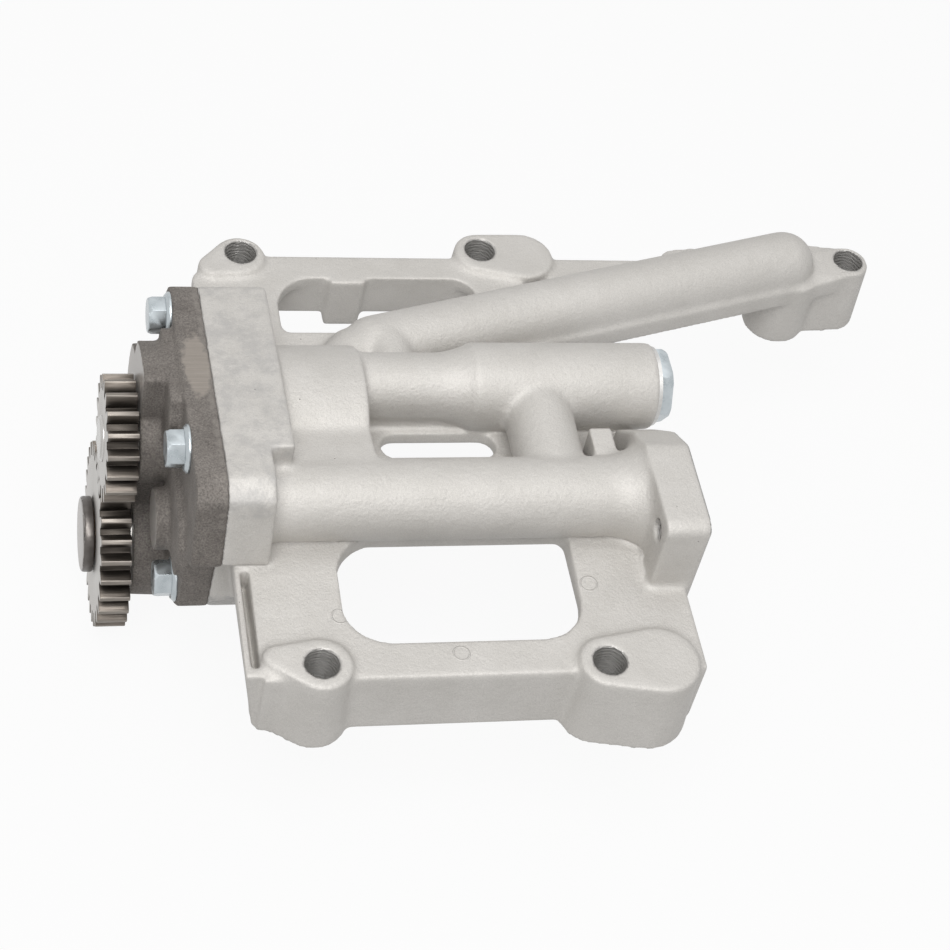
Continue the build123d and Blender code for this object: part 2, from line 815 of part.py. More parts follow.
def relief_plug():
    """Hexagon plug with a hollow end that guides the spring."""
    face = relief_end_x + plug_washer_thickness
    inner = relief_end_x - plug_thread_length
    thread = drum(relief_y, relief_z, plug_thread_radius - seat_clearance, inner, face)
    corner = plug_across_flats / 2 / cos(pi / 6)
    hexagon = Pos(relief_y, relief_z) * RegularPolygon(corner, 6)
    head = extrude(Plane.YZ.offset(face) * hexagon, amount=plug_head_height)
    crown = Plane.YZ.offset(face + plug_head_height)
    cone = crown * (Pos(relief_y, relief_z) * Circle(corner - 1.2))
    head = head & extrude(cone, amount=-plug_head_height, taper=-30)
    cup = drum(relief_y, relief_z, plug_cup_radius, inner - 1, plug_cup_floor())
    return thread + head - cup


def relief_plug_washer():
    """Soft sealing washer under the plug's head."""
    face = relief_end_x + plug_washer_thickness
    ring = drum(relief_y, relief_z, plug_washer_radius, relief_end_x, face)
    return ring - drum(relief_y, relief_z, plug_thread_radius + seat_clearance, relief_end_x, face)


def outlet_seal():
    """Rubber ring in the groove round the outlet."""
    middle = seal_groove_depth - seal_thickness / 2
    return Pos(*outlet_place, middle) * Torus(seal_radius, seal_thickness / 2)


rear_bush_x = joint_x + rotor_length + 2 * side_clearance
pieces = {
    "pump_body": pump_body(),
    "front_cover": front_cover(),
    "cover_bolts": cover_bolts(),
    "cover_dowels": cover_dowels(),
    "pump_shaft": pump_shaft(),
    "shaft_bush_front": shaft_bush(cover_nose_x + 1, joint_x - 1),
    "shaft_bush_rear": shaft_bush(rear_bush_x, rear_bush_x + bush_length),
    "inner_rotor": inner_rotor(),
    "outer_rotor": outer_rotor(),
    "rotor_drive_pin": rotor_drive_pin(),
    "drive_gear": drive_gear(),
    "idler_gear": idler_gear(),
    "idler_bush": idler_bush(),
    "idler_pin": idler_pin(),
    "idler_thrust_washer": idler_thrust_washer(),
    "relief_plunger": relief_plunger(),
    "relief_spring": relief_spring(),
    "relief_plug": relief_plug(),
    "relief_plug_washer": relief_plug_washer(),
    "outlet_seal": outlet_seal(),
}
os.makedirs("parts", exist_ok=True)
for name, solid in pieces.items():
    export_step(solid, f"parts/{name}.step")
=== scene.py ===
import json
import math

import bmesh
import bpy
import numpy as np
from mathutils import Matrix, Vector


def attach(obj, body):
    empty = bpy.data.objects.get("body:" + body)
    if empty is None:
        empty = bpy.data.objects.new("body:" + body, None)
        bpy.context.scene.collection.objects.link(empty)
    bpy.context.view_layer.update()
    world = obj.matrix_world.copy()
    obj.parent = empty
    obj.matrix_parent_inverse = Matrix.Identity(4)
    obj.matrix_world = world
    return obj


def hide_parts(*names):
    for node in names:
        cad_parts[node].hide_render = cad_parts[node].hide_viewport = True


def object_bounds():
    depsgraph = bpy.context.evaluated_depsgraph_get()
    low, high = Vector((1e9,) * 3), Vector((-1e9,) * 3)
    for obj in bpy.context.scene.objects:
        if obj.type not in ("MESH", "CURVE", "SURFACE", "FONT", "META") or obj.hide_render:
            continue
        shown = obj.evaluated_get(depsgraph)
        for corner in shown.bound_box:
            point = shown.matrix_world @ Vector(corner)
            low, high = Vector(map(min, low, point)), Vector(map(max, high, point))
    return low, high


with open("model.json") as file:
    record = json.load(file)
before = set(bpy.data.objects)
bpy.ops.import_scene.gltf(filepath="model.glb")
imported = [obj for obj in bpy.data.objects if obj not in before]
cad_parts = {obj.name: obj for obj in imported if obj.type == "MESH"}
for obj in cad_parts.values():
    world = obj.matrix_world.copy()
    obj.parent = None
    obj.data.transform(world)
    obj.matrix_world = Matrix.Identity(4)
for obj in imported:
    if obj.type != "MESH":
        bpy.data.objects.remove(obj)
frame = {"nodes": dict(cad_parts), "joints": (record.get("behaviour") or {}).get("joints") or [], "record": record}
nodes = frame["nodes"]
cad_low, cad_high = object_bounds()

# Camera. A long lens looks down at the pump from above its gear end, at the photograph's
# angle. The three rows are the directions right, down and forward of the picture.
picture_right = (0.970116, -0.166775, 0.176243)
picture_down = (-0.010433, -0.754346, -0.656394)
picture_forward = (0.242418, 0.634939, -0.733543)
camera_place = (-0.158667, -0.514660, 0.731819)
focal_length = 92.54
sensor_width = 36.0
nearest_seen = 0.01
farthest_seen = 20.0


def new_object(name, data):
    """Object with this data, linked into the scene."""
    made = bpy.data.objects.new(name, data)
    bpy.context.scene.collection.objects.link(made)
    return made


lens = bpy.data.cameras.new("lens")
lens.lens = focal_length
lens.sensor_width = sensor_width
lens.clip_start = nearest_seen
lens.clip_end = farthest_seen
camera = new_object("camera", lens)
turn = Matrix((picture_right, -Vector(picture_down), -Vector(picture_forward))).transposed()
camera.matrix_world = Matrix.Translation(camera_place) @ turn.to_4x4()
bpy.context.scene.camera = camera


# Main casting. Sand-blasted aluminium, cast in one with its tubes, rails and bosses, then
# bored for bolts and valve. Casting leaves soft blends in every corner and rounds every
# edge; only bores, the cover joint and the pipe face are machined flat and crisp.
casting_voxel = 0.0008
casting_blend_rounds = 14
edge_keep = 0.28
flat_reach = 0.45
casting_most_triangles = 190000

# Machined faces and bores, which the blending leaves alone.
bolt_hole_radius = 0.0065
bore_margin = 0.0015
bore_hold = 0.35
bore_snap = 0.4
bore_shine = 0.0006
cover_joint_x = -0.032
pipe_face_x = 0.1485
gallery_from_y = 0.108
feet_z = 0.0
face_reach = 0.0001
everywhere = 1.0

# The narrow pocket at the left end, as spans in X, Y and Z, where blends would fill it up.
left_pocket = ((-0.0285, -0.0205), (-0.008, 0.064), (0.002, 0.0318))
pocket_blend = 0.08

# Round forms that flare into the casting: stations of x, y, z and radius.
tube_sides = 48
gallery_root = (
    (0.046, 0.1590, 0.0335, 0.0125),
    (0.034, 0.1540, 0.0315, 0.0135),
    (0.024, 0.1440, 0.0290, 0.0140),
    (0.020, 0.1300, 0.0270, 0.0140),
)
pipe_flare = (
    (0.117, 0.069, 0.044, 0.0154),
    (0.124, 0.069, 0.044, 0.0166),
    (0.129, 0.069, 0.044, 0.0192),
    (0.1325, 0.069, 0.044, 0.0225),
)
valve_flare = (
    (0.060, 0.1265, 0.0448, 0.0132),
    (0.067, 0.1265, 0.0448, 0.0146),
    (0.073, 0.1265, 0.0448, 0.0166),
    (0.077, 0.1265, 0.0448, 0.0173),
)

# The deck rises by a low step towards the pipe, left and right of the near window.
deck_z = 0.0308
deck_band = 0.0008
above_deck_z = 0.036
above_deck_band = 0.002
deck_step_height = 0.0022
deck_step_run = 0.0024
deck_step_end_y = 0.070
deck_step_left_y = 0.0275
deck_step_left_x = 0.020
deck_step_right_y = 0.0440
deck_step_right_x = (0.095, 0.131)


def merged_copy(node, name):
    """New object with a CAD node's mesh, where corners of triangles at one place become one."""
    mesh = nodes[node].data.copy()
    mesh.name = name
    form = bmesh.new()
    form.from_mesh(mesh)
    bmesh.ops.remove_doubles(form, verts=form.verts, dist=1e-6)
    form.to_mesh(mesh)
    form.free()
    return new_object(name, mesh)


def apply_modifiers(piece):
    """Turns what the modifiers show into the piece's own mesh."""
    shown = piece.evaluated_get(bpy.context.evaluated_depsgraph_get())
    mesh = bpy.data.meshes.new_from_object(shown)
    piece.modifiers.clear()
    piece.data = mesh


def vertex_rows(mesh, field="co"):
    """A row of x, y, z for each vertex: its place in metres, or its normal."""
    rows = np.empty(len(mesh.vertices) * 3)
    mesh.vertices.foreach_get(field, rows)
    return rows.reshape(-1, 3)


def place_vertices(mesh, points):
    """Moves the vertices to these rows of x, y, z."""
    mesh.vertices.foreach_set("co", points.ravel())
    mesh.update()


def blend_surface(mesh, free, rounds, flats, reach):
    """Each round moves a vertex to the mean of its neighbours, by its share in free.

    Inner corners fill in full. Outer edges move by edge_keep of that, so they stay crisp.
    Vertices within reach of a flat (axis, level, highest y) slide on it and never leave it.
    On the feet, at a level in Z, they slide in full, which evens out the outline.
    """
    points = vertex_rows(mesh)
    held = [
        (axis, level, (np.abs(points[:, axis] - level) < reach) & (points[:, 1] < y_end))
        for axis, level, y_end in flats
    ]
    sliding = np.zeros(len(points), bool)
    for axis, _, on_flat in held:
        sliding |= on_flat & (axis == 2)
    normals = vertex_rows(mesh, "normal")
    edges = np.empty(len(mesh.edges) * 2, np.int64)
    mesh.edges.foreach_get("vertices", edges)
    a, b = edges.reshape(-1, 2).T
    count = len(points)
    joined = np.bincount(a, minlength=count) + np.bincount(b, minlength=count)
    neighbours = np.maximum(joined, 1)[:, None]
    for _ in range(rounds):
        total = np.empty_like(points)
        for axis in range(3):
            column = points[:, axis]
            total[:, axis] = np.bincount(a, column[b], count) + np.bincount(b, column[a], count)
        move = total / neighbours - points
        filling = sliding | (np.sum(move * normals, axis=1) > 0)
        points += (free * np.where(filling, 1.0, edge_keep))[:, None] * move
        for axis, level, on_flat in held:
            points[on_flat, axis] = level
    place_vertices(mesh, points)


def cast_form(piece, voxel, free_of, rounds, flats, most_triangles):
    """Remesh in even cells, blend the surface, then thin the flat areas."""
    remesh = piece.modifiers.new("even cells", "REMESH")
    remesh.mode = "VOXEL"
    remesh.voxel_size = voxel
    apply_modifiers(piece)
    free = free_of(vertex_rows(piece.data))
    blend_surface(piece.data, free, rounds, flats, flat_reach * voxel)
    triangles = 2 * len(piece.data.polygons)
    if triangles > most_triangles:
        thin = piece.modifiers.new("thin", "DECIMATE")
        thin.ratio = most_triangles / triangles
        apply_modifiers(piece)


def mount_holes():
    """Axes of the five mounting holes, from the record, as (x, y)."""
    mounts = frame["record"]["mounts"]
    return [mount["pos_m"][:2] for mount in mounts if mount["name"].startswith("hole_")]


def bore_distance(points):
    """Distance of each point from the nearest mounting hole's axis, in plan."""
    gaps = [np.hypot(points[:, 0] - x, points[:, 1] - y) for x, y in mount_holes()]
    return np.min(gaps, axis=0)


def casting_free(points):
    """0 on the bolt bores and little in the narrow left pocket, 1 elsewhere."""
    from_wall = (bore_distance(points) - bolt_hole_radius) / bore_margin
    bores = np.clip(from_wall - bore_hold, 0, 1)
    pocket = np.ones(len(points), bool)
    for axis, (low, high) in enumerate(left_pocket):
        pocket &= (points[:, axis] > low) & (points[:, axis] < high)
    return np.where(pocket, pocket_blend, 1.0) * bores


def tube_form(stations):
    """Closed tube with a round cross-section: rings of (x, y, z, radius) along its path.

    Each ring stands square to the line from its neighbour before to its neighbour after.
    """
    stations = np.array(stations)
    middle, radius = stations[:, :3], stations[:, 3]
    along = np.gradient(middle, axis=0)
    along /= np.linalg.norm(along, axis=1)[:, None]
    side = np.cross(along, (0.0, 0.0, 1.0))
    side /= np.linalg.norm(side, axis=1)[:, None]
    up = np.cross(side, along)
    angle = np.linspace(0, 2 * math.pi, tube_sides, endpoint=False)
    spread = side[:, None] * np.cos(angle)[:, None] + up[:, None] * np.sin(angle)[:, None]
    points = middle[:, None] + radius[:, None, None] * spread
    ring = np.arange(len(stations) - 1)[:, None] * tube_sides
    step = np.arange(tube_sides)
    after = np.roll(step, -1)
    corners = (ring + step, ring + after, ring + after + tube_sides, ring + step + tube_sides)
    walls = np.stack(corners, -1).reshape(-1, 4)
    last = tube_sides * (len(stations) - 1)
    return points.reshape(-1, 3), [*map(tuple, walls), tuple(step[::-1]), tuple(step + last)]


def add_forms(piece, forms):
    """Appends closed forms to the piece's mesh; the remesh then joins what overlaps."""
    mesh = piece.data
    points = [vertex_rows(mesh)]
    faces = [tuple(polygon.vertices) for polygon in mesh.polygons]
    for form_points, form_faces in forms:
        start = sum(len(part) for part in points)
        faces += [tuple(int(corner) + start for corner in face) for face in form_faces]
        points.append(form_points)
    joined = bpy.data.meshes.new(mesh.name + "_joined")
    joined.from_pydata(np.concatenate(points).tolist(), [], faces)
    joined.update()
    piece.data = joined


casting = merged_copy("pump_body", "casting")
add_forms(casting, [tube_form(form) for form in (gallery_root, pipe_flare, valve_flare)])
casting_flats = (
    (0, cover_joint_x, everywhere),
    (0, pipe_face_x, gallery_from_y),
    (2, feet_z, everywhere),
)
cast_form(
    casting,
    casting_voxel,
    casting_free,
    casting_blend_rounds,
    casting_flats,
    casting_most_triangles,
)

# The bores' walls are drawn back to a true circle after the remesh.
points = vertex_rows(casting.data)
bored = np.abs(bore_distance(points) - bolt_hole_radius) < bore_snap * casting_voxel
for x, y in mount_holes():
    reach = np.hypot(points[:, 0] - x, points[:, 1] - y)
    near = bored & (reach < 2 * bolt_hole_radius)
    points[near, 0] = x + (points[near, 0] - x) * bolt_hole_radius / reach[near]
    points[near, 1] = y + (points[near, 1] - y) * bolt_hole_radius / reach[near]

# The step rises along Y by the cubic 3 r squared less 2 r cubed, on the deck's top alone.
x, y, z = points.T
top_share = np.clip((z - deck_z) / deck_band, 0, 1)
top_share *= np.clip((above_deck_z - z) / above_deck_band, 0, 1)
left_rise = np.clip((y - deck_step_left_y) / deck_step_run, 0, 1)
left_rise *= x < deck_step_left_x
right_rise = np.clip((y - deck_step_right_y) / deck_step_run, 0, 1)
right_rise *= (x > deck_step_right_x[0]) & (x < deck_step_right_x[1])
rise = (left_rise + right_rise) * (y < deck_step_end_y)
points[:, 2] += deck_step_height * top_share * rise * rise * (3 - 2 * rise)
place_vertices(casting.data, points)
casting.data.shade_smooth()


def mark_machined(mesh, share):
    """Writes how far each vertex is cut metal, from 0 to 1, for the material to read."""
    layer = mesh.attributes.new("machined", "FLOAT", "POINT")
    layer.data.foreach_set("value", share.astype(np.float32))


bore_share = np.clip(1 - (bore_distance(points) - bolt_hole_radius) / bore_shine, 0, 1)
on_joint = points[:, 0] < cover_joint_x + face_reach
on_pipe_face = (points[:, 0] > pipe_face_x - face_reach) & (points[:, 1] < gallery_from_y)
on_feet = points[:, 2] < feet_z + face_reach
mark_machined(casting.data, np.where(on_joint | on_pipe_face | on_feet, 1.0, bore_share))


def linear(code):
    """sRGB hex to linear: below 0.04045 divide by 12.92, else ((c + 0.055) / 1.055) ** 2.4."""
    values = [int(code[i : i + 2], 16) / 255 for i in (0, 2, 4)]
    scale = [c / 12.92 if c <= 0.04045 else ((c + 0.055) / 1.055) ** 2.4 for c in values]
    return (*scale, 1.0)


def new_material(name):
    """Material with its node tree cleared, no nodes at all; returns it with that tree."""
    material = bpy.data.materials.new(name)
    material.use_nodes = True
    material.node_tree.nodes.clear()
    return material, material.node_tree


def add(tree, kind, inputs=None, **settings):
    """Adds a node, sets its properties, and sets or links each input by name or number."""
    node = tree.nodes.new("ShaderNode" + kind)
    for name, value in settings.items():
        setattr(node, name, value)
    for key, value in (inputs or {}).items():
        if isinstance(value, bpy.types.NodeSocket):
            tree.links.new(value, node.inputs[key])
        else:
            node.inputs[key].default_value = value
    return node


def dress(piece, material):
    """Gives the piece one material."""
    piece.data.materials.clear()
    piece.data.materials.append(material)


# Blasted cast aluminium: matt and pale, with a fine orange-peel grain about 1 mm across from
# the mould coat on a swell of 3 mm, darker specks of 0.4 mm, pinholes up to 1 mm across, and
# clouds 2 cm wide. Cut faces are darker and shinier, with tool rings about 1.8 mm apart.
# Patterns are given in cells per metre.
cloud_cells = 55.0
swell_cells = 320.0
grain_cells = 900.0
speck_cells = 2600.0
pinhole_cells = 150.0
pinhole_group_cells = 60.0
stain_cells = 130.0
tool_ring_scale = 170.0
skin_depth = 0.00035
ejector_ring_radius = 0.0032
ejector_z = 0.033
ejector_places = ((0.1074, 0.0353), (0.0527, 0.0048), (0.0099, 0.0231))

blasted_aluminium, tree = new_material("blasted_cast_aluminium")
place = add(tree, "TexCoord").outputs["Object"]
clouds = add(tree, "TexNoise", {"Vector": place, "Scale": cloud_cells, "Detail": 3.0})
pale = add(
    tree,
    "MixRGB",
    {0: clouds.outputs["Fac"], 1: linear("b9b6b1"), 2: linear("cbc8c4")},
)
grain = add(
    tree,
    "TexNoise",
    {"Vector": place, "Scale": grain_cells, "Detail": 3.0, "Roughness": 0.6},
)
speck = add(tree, "TexNoise", {"Vector": place, "Scale": speck_cells, "Detail": 1.0})
speck_tone = add(
    tree, "MapRange", {"Value": speck.outputs["Fac"], 1: 0.3, 2: 0.7, 3: 0.9, 4: 1.06}
)
grained = add(
    tree,
    "MixRGB",
    {0: 1.0, 1: pale.outputs[0], 2: speck_tone.outputs[0]},
    blend_type="MULTIPLY",
)
pits = add(tree, "TexVoronoi", {"Vector": place, "Scale": pinhole_cells})
pit_size = add(tree, "TexNoise", {"Vector": place, "Scale": pinhole_group_cells})
pit_edge = add(
    tree, "MapRange", {"Value": pit_size.outputs["Fac"], 1: 0.5, 2: 0.75, 3: 0.0, 4: 0.075}
)
pit = add(
    tree,
    "Math",
    {0: pits.outputs["Distance"], 1: pit_edge.outputs[0]},
    operation="LESS_THAN",
)
pitted = add(
    tree,
    "MixRGB",
    {0: pit.outputs[0], 1: grained.outputs[0], 2: linear("6e6964")},
)
# The joint flange's top was cleaned with a pad, and grey stains show on it.
parts = add(tree, "SeparateXYZ", {"Vector": place})
flange_from_x = add(
    tree, "MapRange", {"Value": parts.outputs["X"], 1: -0.004, 2: -0.007, 3: 0.0, 4: 1.0}
)
flange_from_z = add(
    tree, "MapRange", {"Value": parts.outputs["Z"], 1: 0.058, 2: 0.0605, 3: 0.0, 4: 1.0}
)
flange_top = add(
    tree,
    "Math",
    {0: flange_from_x.outputs[0], 1: flange_from_z.outputs[0]},
    operation="MULTIPLY",
)
stains = add(
    tree,
    "TexNoise",
    {"Vector": place, "Scale": stain_cells, "Detail": 6.0, "Roughness": 0.7},
)
stain_edge = add(
    tree, "MapRange", {"Value": stains.outputs["Fac"], 1: 0.44, 2: 0.62, 3: 0.0, 4: 0.6}
)
stain_share = add(
    tree,
    "Math",
    {0: stain_edge.outputs[0], 1: flange_top.outputs[0]},
    operation="MULTIPLY",
)
stained = add(
    tree,
    "MixRGB",
    {0: stain_share.outputs[0], 1: pitted.outputs[0], 2: linear("a9a7a5")},
)
cut = add(tree, "Attribute", attribute_name="machined")
coloured = add(
    tree,
    "MixRGB",
    {0: cut.outputs["Fac"], 1: stained.outputs[0], 2: linear("a7a5a2")},
)
rings = add(
    tree,
    "TexWave",
    {
        "Vector": place,
        "Scale": tool_ring_scale,
        "Distortion": 7.0,
        "Detail": 3.0,
        "Detail Scale": 2.0,
    },
    bands_direction="Z",
)
swell = add(tree, "TexNoise", {"Vector": place, "Scale": swell_cells, "Detail": 2.0})
skin_height = add(
    tree,
    "Math",
    {0: swell.outputs["Fac"], 1: 0.9, 2: grain.outputs["Fac"]},
    operation="MULTIPLY_ADD",
)
# Ejector pins left faint rings on the deck, 6.4 mm across.
for x, y in ejector_places:
    centred = add(tree, "Mapping", {"Vector": place, "Location": (-x, -y, -ejector_z)})
    away = add(tree, "VectorMath", {0: centred.outputs[0]}, operation="LENGTH")
    off = add(
        tree,
        "Math",
        {0: away.outputs["Value"], 1: ejector_ring_radius},
        operation="SUBTRACT",
    )
    width = add(tree, "Math", {0: off.outputs[0]}, operation="ABSOLUTE")
    ring = add(tree, "MapRange", {"Value": width.outputs[0], 1: 0.0001, 2: 0.0004, 3: 1.2, 4: 0.0})
    skin_height = add(
        tree,
        "Math",
        {0: skin_height.outputs[0], 1: ring.outputs[0]},
        operation="ADD",
    )
grain_height = add(
    tree,
    "MixRGB",
    {0: cut.outputs["Fac"], 1: skin_height.outputs[0], 2: rings.outputs["Fac"]},
)
relief = add(
    tree,
    "Bump",
    {"Height": grain_height.outputs[0], "Distance": skin_depth, "Strength": 0.7},
)
roughness = add(tree, "MapRange", {"Value": cut.outputs["Fac"], 1: 0.0, 2: 1.0, 3: 0.62, 4: 0.34})
surface = add(
    tree,
    "BsdfPrincipled",
    {
        "Base Color": coloured.outputs[0],
        "Metallic": 0.35,
        "Roughness": roughness.outputs[0],
        "Normal": relief.outputs[0],
    },
)
add(tree, "OutputMaterial", {"Surface": surface.outputs[0]})

dress(casting, blasted_aluminium)
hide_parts("pump_body")
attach(casting, "housing")


# Thread in the flange for the pick-up pipe. An M10 thread cut into the casting; its crests
# stand just inside the drilled wall, and show in the near hole.
thread_pitch = 0.0015
thread_height = 0.0008
thread_wall = 0.00425
thread_root_sink = 0.00002
thread_flank_share = 0.8
thread_end_margin = 0.0002
points_per_turn = 28


def thread_surface(name, y, z, x_from, x_to):
    """Helix strip: radius is the wall less a triangle wave of height along the turn."""
    turns = (x_to - x_from) / thread_pitch
    t = np.linspace(0, turns, int(turns * points_per_turn) + 1)
    across = np.array((0.0, 0.5, 1.0))
    angle, side = np.meshgrid(2 * math.pi * t, across, indexing="ij")
    inward = thread_height * (1 - np.abs(2 * side - 1))
    radius = thread_wall + thread_root_sink - inward
    x = x_from + thread_pitch * (angle / (2 * math.pi) + side * thread_flank_share)
    x = np.clip(x, x_from, x_to)
    points = np.stack((x, y + radius * np.cos(angle), z + radius * np.sin(angle)), -1)
    rows, columns = x.shape
    start = (np.arange(rows - 1)[:, None] * columns + np.arange(columns - 1)).ravel()
    faces = np.stack((start, start + 1, start + columns + 1, start + columns), -1)
    mesh = bpy.data.meshes.new(name)
    mesh.from_pydata(points.reshape(-1, 3).tolist(), [], faces.tolist())
    mesh.update()
    return new_object(name, mesh)


for mount in frame["record"]["mounts"]:
    if not mount["name"].startswith("suction_thread"):
        continue
    x, y, z = mount["pos_m"]
    deep_end = x - mount["dims"]["length_mm"] / 1000 + thread_end_margin
    thread = thread_surface(mount["name"] + "_turns", y, z, deep_end, x - thread_end_margin)
    mark_machined(thread.data, np.ones(len(thread.data.vertices)))
    dress(thread, blasted_aluminium)
    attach(thread, "housing")


# Front cover. Grey cast iron left dark from the mould: a plate with a turned disc round the
# shaft, cut away on the near side, a boss for the idler pin, a small round one and two raised
# pads. Only the joint face and the ends of disc and bosses are machined.
cover_voxel = 0.0007
cover_blend_rounds = 10
cover_most_triangles = 150000
bolt_seat_x = -0.0435
bolt_axes = ((0.153, 0.057), (0.0785, 0.063), (0.0705, -0.0025), (0.157, -0.004))
spot_face_radius = 0.0098
form_root_x = bolt_seat_x + 0.003

# Bosses: y and z of the axis, radius, x of the face, and radius of the bore.
shaft_boss = (0.117, 0.026, 0.0172, -0.0570, 0.011)
idler_boss = (0.117, -0.0315, 0.0245, -0.056, 0.0)
lower_boss = (0.086, 0.0145, 0.0120, -0.052, 0.0)
boss_draft = 1.03
boss_sides = 96
smallest_bore = 1e-4

# The disc's notch: angle of its middle and half its width in degrees, and its depth.
disc_radius = 0.0385
disc_face_x = -0.0570
disc_from_y = 0.1115
disc_notch = (41.0, 14.0, 0.0054)
disc_arc_points = 90

# Pads as outlines in Y and Z, and a filling at the plate's far end.
upper_pad = ((0.142, 0.0620), (0.1000, 0.0665), (0.0960, 0.056), (0.104, 0.034), (0.138, 0.034))
upper_pad_x = -0.0485
lower_pad = ((0.101, 0.040), (0.062, 0.0405), (0.0565, 0.030), (0.0600, 0.0115), (0.098, 0.006))
lower_pad_x = -0.0465
far_fill = ((0.1648, 0.0250), (0.1648, 0.0615), (0.1600, 0.0622), (0.1600, 0.0250))

# Turned faces stay flat: no blending this close to them, and full shine closer still.
turned_margin = 0.0009
turned_hold = 0.15
turned_reach = 0.0003
turned_facing = 0.9


def boss_form(y, z, radius, face_x, bore):
    """Turned ring or disc on an X axis: the profile goes face, rim, buried end and bore.

    Each point of the profile (x, r) makes a circle (x, y + r cos, z + r sin).
    """
    inner = max(bore, smallest_bore)
    rim = radius * boss_draft
    profile = ((face_x, inner), (face_x, radius), (form_root_x, rim), (form_root_x, inner))
    x, r = np.array(profile).T[:, :, None]
    angle = np.linspace(0, 2 * math.pi, boss_sides, endpoint=False)
    points = np.stack((x + 0 * angle, y + r * np.cos(angle), z + r * np.sin(angle)), -1)
    step = np.arange(boss_sides)
    next_step = np.roll(step, -1)
    ring = np.arange(len(profile))[:, None] * boss_sides
    after = np.roll(ring, -1, axis=0)
    faces = np.stack((ring + step, ring + next_step, after + next_step, after + step), -1)
    return points.reshape(-1, 3), faces.reshape(-1, 4)


def cut_disc():
    """Outline in Y and Z: an arc about the shaft with a V notch, closed by a straight side.

    The arc starts where it meets the straight side at disc_from_y and runs round the back.
    """
    y, z = shaft_boss[:2]
    start = math.acos((disc_from_y - y) / disc_radius)
    degrees = np.linspace(math.degrees(start), -math.degrees(start), disc_arc_points)
    middle, half, depth = disc_notch
    into = np.clip(1 - np.abs(degrees - middle) / half, 0, 1)
    radius = disc_radius - depth * into
    angle = np.radians(degrees)
    return np.column_stack((y + radius * np.cos(angle), z + radius * np.sin(angle)))


def pad_form(outline, face_x, back_x=form_root_x):
    """Prism: the outline in Y and Z, repeated at the face and at the back, in the plate."""
    outline = np.array(outline)
    count = len(outline)
    ends = [np.column_stack((np.full(count, x), outline)) for x in (face_x, back_x)]
    step = np.arange(count)
    after = np.roll(step, -1)
    sides = np.stack((step, after, after + count, step + count), -1)
    return np.concatenate(ends), [tuple(step), tuple(step[::-1] + count), *map(tuple, sides)]


def spot_face(points):
    """Pushes what stands in front of the seat within reach of a bolt back to the seat."""
    for y, z in bolt_axes:
        near = np.hypot(points[:, 1] - y, points[:, 2] - z) < spot_face_radius
        points[near, 0] = np.maximum(points[near, 0], bolt_seat_x)


def turned_gap(points):
    """Distance in X from the nearest of the turned levels."""
    levels = (shaft_boss[3], idler_boss[3], lower_boss[3])
    return np.min([np.abs(points[:, 0] - level) for level in levels], axis=0)


def cover_free(points):
    """0 on the turned ends, 1 elsewhere."""
    return np.clip(turned_gap(points) / turned_margin - turned_hold, 0, 1)


# The plate comes from the solid, cut off at the bolt seats; the forms stand on it.
cover = merged_copy("front_cover", "cover")
points = vertex_rows(cover.data)
points[:, 0] = np.maximum(points[:, 0], bolt_seat_x)
place_vertices(cover.data, points)
forms = [boss_form(*boss) for boss in (shaft_boss, idler_boss, lower_boss)]
forms += [pad_form(upper_pad, upper_pad_x), pad_form(lower_pad, lower_pad_x)]
forms += [pad_form(cut_disc(), disc_face_x), pad_form(far_fill, bolt_seat_x, cover_joint_x)]
add_forms(cover, forms)
cast_form(
    cover,
    cover_voxel,
    cover_free,
    cover_blend_rounds,
    [(0, cover_joint_x, everywhere)],
    cover_most_triangles,
)
points = vertex_rows(cover.data)
spot_face(points)
place_vertices(cover.data, points)
cover.data.shade_smooth()

facing = np.abs(vertex_rows(cover.data, "normal")[:, 0])
turned = (turned_gap(vertex_rows(cover.data)) < turned_reach) & (facing > turned_facing)
mark_machined(cover.data, turned)

# Grey cast iron: dark brown-grey skin with sand grain about 0.7 mm across, partly its own tone
# and partly painted glints where the grains catch the light, and clouds of 8 mm, and pale grey
# where it was turned or rubbed with a wheel near the joint. The rubbed patch is an oval in X
# and Y with a ragged edge.
sand_cells = 1400.0
iron_cloud_cells = 120.0
patch_edge_cells = 260.0
sand_relief = 0.0005
patch_x = -0.0372
patch_y = 0.117
patch_half_x = 0.0056
patch_half_y = 0.0200
scratch_cells = (60.0, 1500.0, 1500.0)

cast_iron, tree = new_material("grey_cast_iron")
place = add(tree, "TexCoord").outputs["Object"]
sand = add(
    tree,
    "TexNoise",
    {"Vector": place, "Scale": sand_cells, "Detail": 4.0, "Roughness": 0.65},
)
clouds = add(tree, "TexNoise", {"Vector": place, "Scale": iron_cloud_cells, "Detail": 3.0})
skin = add(
    tree,
    "MixRGB",
    {0: clouds.outputs["Fac"], 1: linear("5a5551"), 2: linear("7d7873")},
)
# Partly the sand's own tone, partly painted glints: specks range from 0.68 to 1.75 times the skin colour.
glint = add(tree, "MapRange", {"Value": sand.outputs["Fac"], 1: 0.32, 2: 0.72, 3: 0.68, 4: 1.75})
sanded = add(
    tree,
    "MixRGB",
    {0: 1.0, 1: skin.outputs[0], 2: glint.outputs[0]},
    blend_type="MULTIPLY",
)
